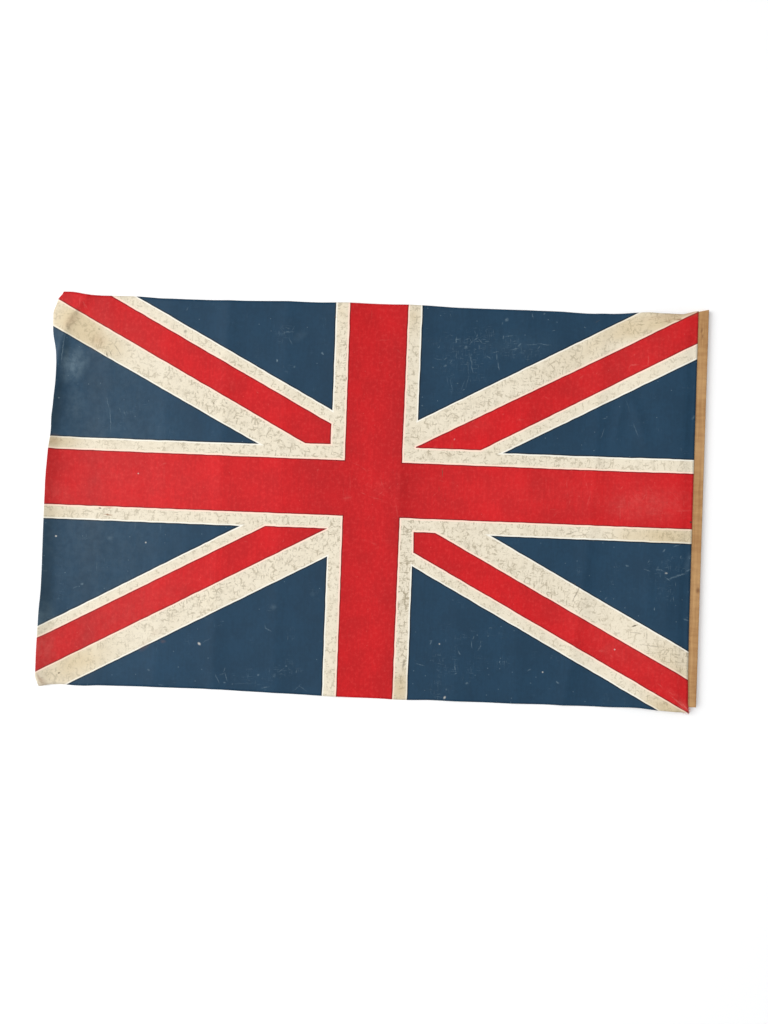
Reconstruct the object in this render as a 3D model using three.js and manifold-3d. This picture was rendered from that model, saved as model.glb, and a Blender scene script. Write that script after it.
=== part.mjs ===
// An old printed flag that lies face up on the floor, its hoist edge fixed on top of a flat wooden batten.
// Millimetres, +Z up. +X runs along the flag from its free fly edge to the batten, +Y across it.
import * as THREE from "three";
import { mergeVertices } from "three/addons/utils/BufferGeometryUtils.js";
import Module from "manifold-3d";

const manifold3d = await Module();
manifold3d.setup();
const { Manifold, Mesh } = manifold3d;

// ---------------------------------------------------------------- driving dimensions

const GAP = 0.3; // between pieces that touch

// The batten, a planed lath as long as the hoist.
const BATTEN_LENGTH = 551;
const BATTEN_WIDTH = 25;
const BATTEN_THICKNESS = 8;
const BATTEN_ARRIS = 1.2; // radius worn on the long top edges
const BATTEN_OUTER_X = 461;
const BATTEN_CENTRE_Y = 3.2; // it sits a little high of the cloth
const BATTEN_TOP_SLANT = 0.231; // its top end is sawn about 13 degrees off square

// The cloth, as it lies.
const CLOTH_THICKNESS = 1; // cotton with its coat of paint
const FLY_X = -461;
const HOIST_TOP_X = 445.8;
const HOIST_BOTTOM_X = 447.2;
const CLOTH_TOP_Y = 273;
const CLOTH_BOTTOM_Y = -279;

// How the raw edges wander from straight: the top and bottom edges as [x, up], the fly edge as [y, inwards].
const TOP_EDGE = [
  [-449, 2.4], [-408, -1.2], [-385, -1.7], [-350, -0.9], [-300, -2.6], [-216, -2.5], [-125, -0.5],
  [-80, -0.9], [60, 0.3], [123, -2], [180, -1.7], [250, -1.9], [300, -3.6], [326, -3], [377, -0.4],
  [398, -1.8], [422, -2.5], [446, 2.9],
];
const BOTTOM_EDGE = [
  [-461, -2.9], [-396, -2.1], [-372, -0.4], [-275, 0.5], [-208, 1.1], [-165, 0], [-72, -1], [0, -1.7],
  [62, -2.1], [96, -0.7], [196, -0.7], [262, 0.1], [335, 0.5], [379, 2.2], [412, 0.4], [446, -0.8],
];
const FLY_EDGE = [
  [-279, 1.4], [-235, 1.2], [-150, 3.5], [-50, 2.8], [0, 3], [45, 4], [72, 5.8], [102, 4], [130, 2.3],
  [190, 2.5], [222, 0.9], [244, 0.4], [262, 5.5], [275, 13.5],
];

// The climb from the floor onto the batten.
const CLIMB_START_X = 312;
const CLIMB_END_X = 430;
const CLIMB_BULGE = 1.7; // the cloth stands this much over the batten's inner edge
const LAP_START_X = 441;
const LAP_HEIGHT = BATTEN_THICKNESS + GAP;

// The fly edge, which curls up from years on a roll.
const CURL_REACH = 58;
const CURL_HEIGHT = 5; // of the edge, along most of it
const CURL_SWELL = 5; // and more where it curls most
const CURL_SWELL_Y = 85;
const CURL_SWELL_WIDTH = 90;
const LIP_REACH = 22; // and it turns up more in its last stretch
const LIP_HEIGHT = 2.5;
const DRAW_IN = 9.5; // how far the edge is drawn in between the swell and the dog-ear
const DRAW_IN_Y = 150;
const DRAW_IN_WIDTH = 75;

// The dog-eared top corner of the fly. The curl rises to a crease that starts on the fly edge and bends
// over to the top edge, and beyond the crease the corner comes back down to the floor.
const EAR_FOOT_Y = 165;
const EAR_FOOT_WIDTH = 4;
const EAR_TOP_WIDTH = 50; // along the top edge
const EAR_RIDGE = 2.5; // how much the cloth rises beside the crease
const EAR_RIDGE_REACH = 14;
const EAR_EDGE_HEIGHT = 0.4; // of the corner's outer edge

// The low ridges left by flat folding: where the crest crosses each edge, the width of the ridge,
// and its height at the top edge, the middle and the bottom edge.
const RIDGES = [
  { topX: -379, bottomX: -376, width: 26, heights: [1.2, 0.6, 1.4] },
  { topX: -211, bottomX: -213, width: 24, heights: [1.8, 0.6, 1.2] },
  { topX: -43, bottomX: -43, width: 46, heights: [4.2, 0, 2.6] },
  { topX: 125, bottomX: 128, width: 34, heights: [1.6, 0, 1.8] },
  { topX: 314, bottomX: 278, width: 22, heights: [0.6, 1.4, 1.2] },
];

// The tack through the lap.
const TACK_X = 444.4;
const TACK_Y = -17.5;
const TACK_HEAD_RADIUS = 1.3;
const TACK_HEAD_THICKNESS = 0.7;
const TACK_SHANK_RADIUS = 0.7;
const TACK_LENGTH = 6.5;
const TACK_SIDES = 16;

// The sheet's mesh: columns in three runs along X, and rows along Y.
const CURL_COLUMNS = 9;
const MIDDLE_COLUMNS = 40;
const CLIMB_COLUMNS = 14;
const ROWS = 28;

// ---------------------------------------------------------------- the lie of the cloth

const { lerp, smoothstep } = THREE.MathUtils;

// How far across the cloth a place is: 0 at the bottom edge, 1 at the top.
function acrossAt(y) {
  return (y - CLOTH_BOTTOM_Y) / (CLOTH_TOP_Y - CLOTH_BOTTOM_Y);
}

// A value that eases from one of these [at, value] places to the next.
function easedThrough(places, at) {
  let value = places[0][1];
  for (let i = 1; i < places.length; i += 1) {
    const [from, before] = places[i - 1];
    const [to, after] = places[i];
    value += (after - before) * smoothstep(at, from, to);
  }
  return value;
}

// A value that runs from bottom through middle to top, smooth in between.
function fromEdgeToEdge([top, middle, bottom], across) {
  const side = 2 * across - 1;
  const edge = side > 0 ? top : bottom;
  return lerp(middle, edge, side * side);
}

function ridgeHeight(ridge, x, across) {
  const crest = lerp(ridge.bottomX, ridge.topX, across);
  const off = (x - crest) / ridge.width;
  return fromEdgeToEdge(ridge.heights, across) * Math.exp(-2 * off * off);
}

// A rounded hump of height 1 at its centre.
function hump(at, centre, width) {
  return Math.exp(-(((at - centre) / width) ** 2));
}

// How far into the curl a place is: 0 where the cloth leaves the floor, 1 at the fly edge.
function curledAt(x) {
  return Math.max(0, (FLY_X + CURL_REACH - x) / CURL_REACH);
}

function curlHeight(x, y) {
  const edgeHeight = CURL_HEIGHT + CURL_SWELL * hump(y, CURL_SWELL_Y, CURL_SWELL_WIDTH);
  const lip = Math.max(0, (FLY_X + LIP_REACH - x) / LIP_REACH) ** 1.6;
  return edgeHeight * curledAt(x) ** 1.7 + LIP_HEIGHT * lip * (1 - smoothstep(earAt(y), 0, 0.3));
}

function flyEdgeX(y) {
  return FLY_X + easedThrough(FLY_EDGE, y);
}

// How far up the dog-ear a place is: 0 at its foot and below, 1 at the top edge.
function earAt(y) {
  return Math.max(0, (y - EAR_FOOT_Y) / (CLOTH_TOP_Y - EAR_FOOT_Y));
}

// The curled fly edge with the dog-ear: up to the crease on its inner side, and flat beyond it.
function flyHeight(x, y) {
  const up = earAt(y);
  const edge = flyEdgeX(y);
  const crease = Math.max(FLY_X + lerp(EAR_FOOT_WIDTH, EAR_TOP_WIDTH, up ** 1.6), edge + EAR_FOOT_WIDTH);
  const ridge = EAR_RIDGE * smoothstep(up, 0, 0.4);
  if (x >= crease) {
    const near = Math.max(0, 1 - (x - crease) / EAR_RIDGE_REACH);
    return curlHeight(x, y) + ridge * near * near;
  }
  const inner = curlHeight(crease, y) + ridge;
  const outer = lerp(curlHeight(edge, y), EAR_EDGE_HEIGHT, smoothstep(up, 0, 0.35));
  return lerp(inner, outer, (crease - x) / (crease - edge));
}

function climbHeight(x) {
  const peak = LAP_HEIGHT + CLIMB_BULGE;
  if (x < CLIMB_END_X) return peak * smoothstep(x, CLIMB_START_X, CLIMB_END_X);
  return lerp(peak, LAP_HEIGHT, smoothstep(x, CLIMB_END_X, LAP_START_X));
}

// Height of the cloth's underside over the floor.
function liftAt(x, y) {
  const across = acrossAt(y);
  const ridges = RIDGES.reduce((sum, ridge) => sum + ridgeHeight(ridge, x, across), 0);
  const free = 1 - smoothstep(x, CLIMB_START_X, CLIMB_END_X);
  return ridges * free + flyHeight(x, y) + climbHeight(x);
}

// Where a point of the cloth lies. along is 0 at the fly edge and 1 at the hoist, across is 0 at the
// bottom edge and 1 at the top.
function place(along, across) {
  const straightX = lerp(FLY_X, lerp(HOIST_BOTTOM_X, HOIST_TOP_X, across), along);
  const bottom = CLOTH_BOTTOM_Y + easedThrough(BOTTOM_EDGE, straightX);
  const top = CLOTH_TOP_Y + easedThrough(TOP_EDGE, straightX);
  const y = lerp(bottom, top, across);
  const x = straightX + easedThrough(FLY_EDGE, y) * curledAt(straightX);
  const curled = curledAt(straightX) ** 2 * (1 - smoothstep(earAt(y), 0, 0.6));
  const drawIn = DRAW_IN * hump(y, DRAW_IN_Y, DRAW_IN_WIDTH) * curled;
  return new THREE.Vector3(x + drawIn, y, CLOTH_THICKNESS / 2 + liftAt(x, y));
}

// ---------------------------------------------------------------- solids

function toManifold(geometry) {
  const merged = mergeVertices(geometry, 1e-4);
  const positions = merged.getAttribute("position");
  const solid = new Mesh({
    numProp: 3,
    vertProperties: new Float32Array(positions.array),
    triVerts: new Uint32Array(merged.index.array),
  });
  return new Manifold(solid);
}

function toGeometry(manifold) {
  const solid = manifold.getMesh();
  const geometry = new THREE.BufferGeometry();
  geometry.setAttribute("position", new THREE.BufferAttribute(solid.vertProperties, 3));
  geometry.setIndex(new THREE.BufferAttribute(solid.triVerts, 1));
  geometry.computeVertexNormals();
  return geometry;
}

function withoutShading(geometry) {
  geometry.deleteAttribute("normal");
  geometry.deleteAttribute("uv");
  return geometry;
}

// The round hole that the tack's shank passes through.
function tackHole(depth, top) {
  const radius = TACK_SHANK_RADIUS + GAP;
  const hole = new THREE.CylinderGeometry(radius, radius, depth, TACK_SIDES);
  hole.rotateX(Math.PI / 2);
  hole.translate(TACK_X, TACK_Y, top - depth / 2);
  return toManifold(withoutShading(hole));
}

function columnPositions() {
  const runs = [
    [FLY_X, FLY_X + CURL_REACH, CURL_COLUMNS],
    [FLY_X + CURL_REACH, CLIMB_START_X, MIDDLE_COLUMNS],
    [CLIMB_START_X, HOIST_TOP_X, CLIMB_COLUMNS],
  ];
  const xs = [FLY_X];
  for (const [from, to, count] of runs) {
    for (let i = 1; i <= count; i += 1) xs.push(lerp(from, to, i / count));
  }
  return xs;
}

// A closed sheet: an upper and a lower face half a thickness off the middle, joined round the edge.
function clothGeometry() {
  const xs = columnPositions();
  const columns = xs.length;
  const rows = ROWS + 1;
  const step = 1e-3;
  const points = [];
  for (const side of [1, -1]) {
    for (const x of xs) {
      const along = (x - FLY_X) / (HOIST_TOP_X - FLY_X);
      for (let row = 0; row < rows; row += 1) {
        const across = row / ROWS;
        const middle = place(along, across);
        const alongX = place(along + step, across).sub(place(along - step, across));
        const alongY = place(along, across + step).sub(place(along, across - step));
        const normal = alongX.cross(alongY).normalize();
        middle.addScaledVector(normal, (side * CLOTH_THICKNESS) / 2);
        middle.z = Math.max(middle.z, 0);
        points.push(middle);
      }
    }
  }
  const at = (layer, column, row) => layer * columns * rows + column * rows + row;
  const faces = [];
  const quad = (a, b, c, d) => faces.push(a, b, c, a, c, d);
  for (let i = 0; i < columns - 1; i += 1) {
    for (let j = 0; j < rows - 1; j += 1) {
      quad(at(0, i, j), at(0, i + 1, j), at(0, i + 1, j + 1), at(0, i, j + 1));
      quad(at(1, i, j), at(1, i, j + 1), at(1, i + 1, j + 1), at(1, i + 1, j));
    }
  }
  for (let i = 0; i < columns - 1; i += 1) {
    quad(at(0, i, 0), at(1, i, 0), at(1, i + 1, 0), at(0, i + 1, 0));
    quad(at(0, i + 1, rows - 1), at(1, i + 1, rows - 1), at(1, i, rows - 1), at(0, i, rows - 1));
  }
  for (let j = 0; j < rows - 1; j += 1) {
    quad(at(0, 0, j + 1), at(1, 0, j + 1), at(1, 0, j), at(0, 0, j));
    quad(at(0, columns - 1, j), at(1, columns - 1, j), at(1, columns - 1, j + 1), at(0, columns - 1, j + 1));
  }
  const geometry = new THREE.BufferGeometry().setFromPoints(points);
  geometry.setIndex(faces);
  return geometry;
}

function makeCloth() {
  const lapTop = LAP_HEIGHT + CLOTH_THICKNESS;
  const hole = tackHole(3 * CLOTH_THICKNESS, lapTop + CLOTH_THICKNESS);
  const geometry = toGeometry(toManifold(clothGeometry()).subtract(hole));
  const paint = new THREE.MeshStandardMaterial({ color: 0xc4282c, roughness: 0.6, metalness: 0 });
  const cloth = new THREE.Mesh(geometry, paint);
  cloth.name = "cloth";
  return cloth;
}

// The lath's section, its two long top edges rounded, drawn out to its length and sawn off at a slant.
function makeBatten() {
  const half = BATTEN_WIDTH / 2;
  const section = new THREE.Shape();
  section.moveTo(-half, 0);
  section.lineTo(half, 0);
  section.lineTo(half, BATTEN_THICKNESS - BATTEN_ARRIS);
  section.absarc(half - BATTEN_ARRIS, BATTEN_THICKNESS - BATTEN_ARRIS, BATTEN_ARRIS, 0, Math.PI / 2);
  section.absarc(BATTEN_ARRIS - half, BATTEN_THICKNESS - BATTEN_ARRIS, BATTEN_ARRIS, Math.PI / 2, Math.PI);
  const blank = new THREE.ExtrudeGeometry(section, {
    depth: BATTEN_LENGTH,
    bevelEnabled: false,
    curveSegments: 6,
  });
  blank.rotateX(Math.PI / 2);
  blank.translate(BATTEN_OUTER_X - half, BATTEN_CENTRE_Y + BATTEN_LENGTH / 2, 0);
  const corners = blank.getAttribute("position");
  for (let i = 0; i < corners.count; i += 1) {
    const slant = BATTEN_TOP_SLANT * (BATTEN_OUTER_X - corners.getX(i));
    if (corners.getY(i) > BATTEN_CENTRE_Y) corners.setY(i, corners.getY(i) - slant);
  }
  const solid = toManifold(withoutShading(blank)).subtract(tackHole(TACK_LENGTH, BATTEN_THICKNESS + GAP));
  const pine = new THREE.MeshStandardMaterial({ color: 0xbe905f, roughness: 0.7, metalness: 0 });
  const batten = new THREE.Mesh(toGeometry(solid), pine);
  batten.name = "batten";
  return batten;
}

// A cut tack: a thin round head over the cloth and a tapering shank down into the batten.
function makeTack() {
  const seat = LAP_HEIGHT + CLOTH_THICKNESS + GAP;
  const point = seat - TACK_LENGTH;
  const profile = [
    new THREE.Vector2(0, point),
    new THREE.Vector2(TACK_SHANK_RADIUS, point + 2),
    new THREE.Vector2(TACK_SHANK_RADIUS, seat),
    new THREE.Vector2(TACK_HEAD_RADIUS, seat),
    new THREE.Vector2(TACK_HEAD_RADIUS, seat + TACK_HEAD_THICKNESS / 2),
    new THREE.Vector2(0, seat + TACK_HEAD_THICKNESS),
  ];
  const geometry = new THREE.LatheGeometry(profile, TACK_SIDES);
  geometry.rotateX(Math.PI / 2);
  const rust = new THREE.MeshStandardMaterial({ color: 0x4a1f16, roughness: 0.75, metalness: 0.4 });
  const tack = new THREE.Mesh(geometry, rust);
  tack.name = "tack";
  tack.position.set(TACK_X, TACK_Y, 0);
  return tack;
}

const flag = new THREE.Group();
flag.add(makeCloth(), makeBatten(), makeTack());

// The origin is under the middle of the whole object.
const extent = new THREE.Box3().setFromObject(flag);
const middle = extent.getCenter(new THREE.Vector3());
flag.position.set(-middle.x, -middle.y, -extent.min.z);

export default flag;
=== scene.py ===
# An old painted cotton flag, laid out face up with its hoist edge on a flat wooden batten.
import math

import bpy
import numpy as np
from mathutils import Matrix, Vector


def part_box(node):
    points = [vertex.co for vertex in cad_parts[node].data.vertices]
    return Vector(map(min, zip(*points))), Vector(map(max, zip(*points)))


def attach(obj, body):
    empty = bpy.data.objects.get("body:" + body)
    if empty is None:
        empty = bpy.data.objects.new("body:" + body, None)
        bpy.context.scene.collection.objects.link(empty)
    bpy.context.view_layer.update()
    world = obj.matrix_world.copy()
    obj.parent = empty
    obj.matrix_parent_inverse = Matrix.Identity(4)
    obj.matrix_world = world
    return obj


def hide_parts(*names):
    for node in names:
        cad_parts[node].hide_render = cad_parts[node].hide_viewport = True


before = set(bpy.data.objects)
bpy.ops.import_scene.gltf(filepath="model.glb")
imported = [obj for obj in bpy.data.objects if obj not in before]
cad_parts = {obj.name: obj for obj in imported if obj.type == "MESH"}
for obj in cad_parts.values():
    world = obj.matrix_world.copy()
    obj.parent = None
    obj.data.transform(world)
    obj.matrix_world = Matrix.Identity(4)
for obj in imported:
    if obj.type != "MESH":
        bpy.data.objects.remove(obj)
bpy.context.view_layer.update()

bpy.ops.object.select_all(action="DESELECT")


# ---- Camera, floor and light -------------------------------------------------------------
# The flag is looked down on from almost straight above, by a camera held in the hand: a
# little off the middle and turned two degrees. Daylight comes softly from the fly end.

bpy.ops.object.camera_add(location=(0.0413, -0.03665, 1.0804))
camera = bpy.context.object
camera.name = "camera"
camera.rotation_mode = "ZYX"
camera.rotation_euler = (math.radians(0.97), math.radians(1.14), math.radians(2.26))
camera.data.sensor_width = 36
camera.data.lens = 27.04
bpy.context.scene.camera = camera
bpy.context.scene.view_settings.view_transform = "Standard"

bpy.ops.mesh.primitive_plane_add(size=8, location=(0, 0, 0))
floor = bpy.context.object
floor.name = "floor"
floor_paint = bpy.data.materials.new("pale floor")
floor_paint.use_nodes = True
shader = floor_paint.node_tree.nodes["Principled BSDF"]
shader.inputs["Base Color"].default_value = (0.95, 0.95, 0.95, 1)
shader.inputs["Roughness"].default_value = 0.9
floor.data.materials.append(floor_paint)

world = bpy.data.worlds.new("studio")
world.use_nodes = True
background = world.node_tree.nodes["Background"]
background.inputs["Color"].default_value = (0.98, 0.99, 1, 1)
background.inputs["Strength"].default_value = 0.44
bpy.context.scene.world = world

bpy.ops.object.light_add(type="SUN", rotation=(math.radians(-3), math.radians(-46), 0))
daylight = bpy.context.object
daylight.name = "daylight"
daylight.data.energy = 1.6
daylight.data.angle = math.radians(42)

bpy.ops.object.light_add(type="AREA", location=(-1.6, 0.1, 1.3), rotation=(0, math.radians(-51), 0))
window = bpy.context.object
window.name = "window"
window.data.size = 1.5
window.data.energy = 12

bpy.ops.object.light_add(type="AREA", location=(0.3, 0, 3.2))
ceiling = bpy.context.object
ceiling.name = "ceiling"
ceiling.data.size = 3
ceiling.data.energy = 26


# ---- The cloth ---------------------------------------------------------------------------
# One piece of thin cotton, stiff with paint, raw on all four edges. It was kept folded flat
# in panels a hand wide, its fly end curls up and the top corner there is dog-eared.

batten_low, batten_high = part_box("batten")

CLOTH_THICKNESS = 0.0008
FLY = batten_high.x - 0.922
HOIST_TOP = batten_high.x - 0.0152
HOIST_BOTTOM = batten_high.x - 0.0138
CLOTH_TOP = batten_high.y - 0.0057
CLOTH_BOTTOM = batten_low.y - 0.0067
CLOTH_HEIGHT = CLOTH_TOP - CLOTH_BOTTOM

# How the raw edges wander from straight: the top and bottom edges as (x, up), the fly edge as
# (y, inwards) and the hoist edge as (y, outwards).
TOP_EDGE = (
    (-0.449, 0.0024), (-0.408, -0.0012), (-0.385, -0.0017), (-0.350, -0.0009), (-0.300, -0.0026),
    (-0.216, -0.0025), (-0.125, -0.0005), (-0.080, -0.0009), (0.060, 0.0003), (0.123, -0.0020),
    (0.180, -0.0017), (0.250, -0.0019), (0.300, -0.0036), (0.326, -0.0030), (0.377, -0.0004),
    (0.398, -0.0018), (0.422, -0.0025), (0.446, 0.0029),
)
BOTTOM_EDGE = (
    (-0.461, -0.0042), (-0.443, -0.0017), (-0.430, -0.0010), (-0.405, -0.0022), (-0.396, -0.0021),
    (-0.372, -0.0004), (-0.275, 0.0005), (-0.208, 0.0011), (-0.165, 0.0), (-0.072, -0.0010),
    (0.0, -0.0017), (0.062, -0.0021), (0.096, -0.0007), (0.196, -0.0007), (0.262, 0.0001),
    (0.335, 0.0005), (0.379, 0.0022), (0.412, 0.0004), (0.446, -0.0008),
)
FLY_EDGE = (
    (-0.2826, 0.0068), (-0.2766, 0.0048), (-0.2716, 0.0028), (-0.2636, 0.0012), (-0.233, 0.0010),
    (-0.185, 0.0016), (-0.140, 0.0033), (-0.048, 0.0028), (0.002, 0.0030), (0.047, 0.0040),
    (0.074, 0.0050), (0.104, 0.0028), (0.132, 0.0020), (0.192, 0.0025), (0.224, 0.0009),
    (0.246, 0.0004), (0.264, 0.0055), (0.277, 0.0135),
)

HOIST_EDGE = ((-0.279, 0.0036), (-0.262, 0.0016), (-0.225, 0.0006), (-0.150, 0.0))

# The climb onto the batten and the lap on it.
CLIMB_START = batten_low.x - 0.124
CLIMB_END = batten_low.x - 0.006
CLIMB_BULGE = 0.0012
LAP_START = batten_low.x + 0.005
LAP_HEIGHT = batten_high.z + 0.0005

# The curled fly edge, which turns up most at one height up the flag, and more in its last stretch.
# Above its middle it has also drawn in.
CURL_REACH = 0.058
CURL_HEIGHT = 0.005
CURL_CREST = 0.0866
CURL_SPREAD = 0.090
LIP_REACH = 0.022
LIP_HEIGHT = 0.0025
DRAW_IN = 0.0095
DRAW_IN_CREST = 0.1516
DRAW_IN_SPREAD = 0.075

# The dog-ear: where its crease leaves the fly edge, how far in it is there and at the top edge, the
# ridge beside it and how high its own edge lies.
EAR_FOOT = 0.1666
EAR_FOOT_WIDTH = 0.004
EAR_TOP_WIDTH = 0.050
EAR_RIDGE = 0.0019
EAR_RIDGE_REACH = 0.016
EAR_EDGE_HEIGHT = 0.0004

# The fold lines across the flag, from the fly to the hoist: where each is at the top edge, the
# middle and the bottom edge, how wide the cloth is bent there and how high at those places, and
# how high its crest is.
FOLDS = (
    ((-0.379, -0.377, -0.376), 0.026, (0.0010, 0.0005, 0.0012), 0.0003),
    ((-0.295, -0.295, -0.294), 0.020, (0.0005, 0.0004, 0.0006), 0.0002),
    ((-0.210, -0.213, -0.210), 0.024, (0.0018, 0.0006, 0.0012), 0.0004),
    ((-0.127, -0.127, -0.125), 0.020, (0.0008, 0.0003, 0.0006), 0.0003),
    ((-0.043, -0.042, -0.043), 0.046, (0.0042, 0.0002, 0.0026), 0.0003),
    ((0.041, 0.042, 0.043), 0.022, (0.0008, 0.0006, 0.0006), 0.0003),
    ((0.125, 0.126, 0.128), 0.034, (0.0016, 0.0002, 0.0018), 0.0002),
    ((0.211, 0.212, 0.213), 0.020, (0.0005, 0.0003, 0.0006), 0.0002),
    ((0.314, 0.309, 0.279), 0.022, (0.0006, 0.0014, 0.0012), 0.0007),
)
FOLD_CREST_WIDTH = 0.014
COCKLING = 0.0001

# Shorter creases and rolls: the path, how wide it is bent to each side, and how high.
CREASES = (
    (((0.336, 0.075), (0.343, 0.128), (0.353, 0.170)), 0.014, 0.0014),
    (((0.382, 0.075), (0.370, 0.122), (0.353, 0.170)), 0.014, 0.0014),
    (((-0.06, 0.229), (0.068, 0.229), (0.315, 0.222)), 0.018, 0.0010),
    (((0.036, 0.055), (0.043, 0.025), (0.039, -0.003), (0.047, -0.036)), 0.010, 0.0008),
    (((-0.045, -0.006), (0.0, -0.001), (0.048, 0.003)), 0.009, 0.0005),
    (((-0.037, 0.050), (-0.030, 0.023), (-0.026, -0.010)), 0.009, 0.0005),
    (((-0.030, 0.043), (0.004, 0.035), (0.020, 0.016), (0.032, -0.003)), 0.009, 0.0005),
    (((0.385, -0.045), (0.393, -0.16)), 0.012, 0.0008),
    (((0.413, -0.045), (0.415, -0.19)), 0.012, 0.0007),
    (((0.345, 0.02), (0.40, 0.012), (0.445, 0.016)), 0.014, 0.0008),
    (((0.355, -0.012), (0.41, -0.018), (0.445, -0.02)), 0.012, 0.0007),
    (((-0.432, 0.262), (-0.442, 0.222), (-0.438, 0.206)), 0.010, 0.0008),
    (((-0.461, -0.262), (-0.445, -0.283)), 0.010, 0.0022),
    (((-0.433, -0.205), (-0.432, -0.170), (-0.430, -0.130)), 0.010, 0.0006),
)


def smooth(value, low, high):
    """0 below low, 1 above high, and smooth in between."""
    share = np.clip((value - low) / (high - low), 0, 1)
    return share * share * (3 - 2 * share)


def hump(value, centre, width):
    """1 at the centre, dying away to both sides."""
    return np.exp(-(((value - centre) / width) ** 2))


def eased(value, places):
    """What eases from one of these (value, result) places to the next."""
    result = np.full_like(value, places[0][1])
    for (start, before), (end, after) in zip(places, places[1:]):
        result += (after - before) * smooth(value, start, end)
    return result


def through(three, side):
    """A value that is three[0] at the top, three[1] in the middle and three[2] at the bottom."""
    top, middle, bottom = three
    return middle + (top - bottom) / 2 * side + ((top + bottom) / 2 - middle) * side**2


def crease(x, y, path):
    """The distance from a path of (x, y) places, and how much the crease is there: it dies out
    towards both ends."""
    nearest = np.full_like(x, 1e3)
    along = np.zeros_like(x)
    walked = 0
    for (ax, ay), (bx, by) in zip(path, path[1:]):
        length = math.dist((ax, ay), (bx, by))
        share = np.clip(((x - ax) * (bx - ax) + (y - ay) * (by - ay)) / length**2, 0, 1)
        off = np.hypot(x - ax - share * (bx - ax), y - ay - share * (by - ay))
        closer = off < nearest
        nearest = np.where(closer, off, nearest)
        along = np.where(closer, walked + share * length, along)
        walked += length
    return nearest, smooth(along, 0, 0.3 * walked) * smooth(walked - along, 0, 0.3 * walked)


def curled(x):
    """0 where the curl of the fly edge starts, 1 at the edge."""
    return np.clip((FLY + CURL_REACH - x) / CURL_REACH, 0, 1)


def up_ear(y):
    """0 at the foot of the dog-ear, 1 at the top edge."""
    return np.clip((y - EAR_FOOT) / (CLOTH_TOP - EAR_FOOT), 0, 1)


def curl(x, y):
    """How high the fly edge's curl lifts the cloth."""
    lip = np.clip((FLY + LIP_REACH - x) / LIP_REACH, 0, 1) ** 1.6 * (1 - smooth(up_ear(y), 0, 0.3))
    tall = CURL_HEIGHT * (1 + hump(y, CURL_CREST, CURL_SPREAD))
    return tall * curled(x) ** 1.7 + LIP_HEIGHT * lip


def fly_edge(y):
    """Where the cloth ends at the fly."""
    return FLY + eased(y, FLY_EDGE)


def ear_crease(y):
    """Where the dog-ear's crease is. Below the ear it keeps just inside the fly edge."""
    width = EAR_FOOT_WIDTH + (EAR_TOP_WIDTH - EAR_FOOT_WIDTH) * up_ear(y) ** 1.6
    return np.maximum(FLY + width, fly_edge(y) + EAR_FOOT_WIDTH)


def lie(x, y):
    """Height of the cloth's underside over the floor, where the flat cloth's place is (x, y)."""
    side = 2 * (y - CLOTH_BOTTOM) / CLOTH_HEIGHT - 1
    # Shallow cockling all over, as cotton stiff with paint has.
    waves = np.sin(88 * x + 1.3 * np.sin(21 * y)) + np.sin(53 * x - 31 * y + 0.8)
    waves += 0.7 * np.sin(131 * x + 67 * y + 2.1) + 0.5 * np.sin(115 * y - 40 * x)
    height = COCKLING * (3.2 + waves)
    for crests, width, tall, crest_height in FOLDS:
        off = x - through(crests, side)
        edge = np.where(side > 0, tall[0], tall[2])
        height += (tall[1] + (edge - tall[1]) * side**2) * np.exp(-2 * (off / width) ** 2)
        height += crest_height * np.clip(1 - np.abs(off) / FOLD_CREST_WIDTH, 0, 1) ** 1.5
    for path, width, tall in CREASES:
        off, share = crease(x, y, path)
        height += tall * share * np.clip(1 - off / width, 0, 1) ** 1.5
    height *= 1 - smooth(x, CLIMB_END, LAP_START)
    # The fly edge curls up, and beyond the dog-ear's crease it comes down again.
    up = up_ear(y)
    inner = ear_crease(y)
    edge = fly_edge(y)
    ridge = EAR_RIDGE * smooth(up, 0, 0.4)
    beside = np.clip(1 - (x - inner) / EAR_RIDGE_REACH, 0, 1)
    outer = curl(edge, y) + (EAR_EDGE_HEIGHT - curl(edge, y)) * smooth(up, 0, 0.35)
    share = np.clip((inner - x) / (inner - edge), 0, 1)
    ear = (curl(inner, y) + ridge) * (1 - share) + outer * share
    height += np.where(x >= inner, curl(x, y) + ridge * beside**2, ear)
    # The hoist end climbs onto the batten.
    peak = LAP_HEIGHT + CLIMB_BULGE
    height += peak * smooth(x, CLIMB_START, CLIMB_END)
    return height - CLIMB_BULGE * smooth(x, CLIMB_END, LAP_START)


def between_edges(x, across):
    """How high up the flag the cloth is at x: across is 0 at its bottom edge and 1 at its top."""
    bottom = CLOTH_BOTTOM + eased(x, BOTTOM_EDGE)
    top = CLOTH_TOP + eased(x, TOP_EDGE)
    return bottom + (top - bottom) * across


# Columns of the mesh between the fly edge, the dog-ear's crease, each fold and the hoist.
COLUMNS = (10, 18, 24, 24, 24, 24, 24, 24, 24, 28, 44)
ROWS = 162

bpy.ops.mesh.primitive_grid_add(x_subdivisions=sum(COLUMNS), y_subdivisions=ROWS, size=1)
cloth = bpy.context.object
cloth.name = "flag_cloth"
places = np.empty(len(cloth.data.vertices) * 3)
cloth.data.vertices.foreach_get("co", places)
places = places.reshape(-1, 3)
column = (places[:, 0] + 0.5) * sum(COLUMNS)
across = places[:, 1] + 0.5
side = 2 * across - 1

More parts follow.
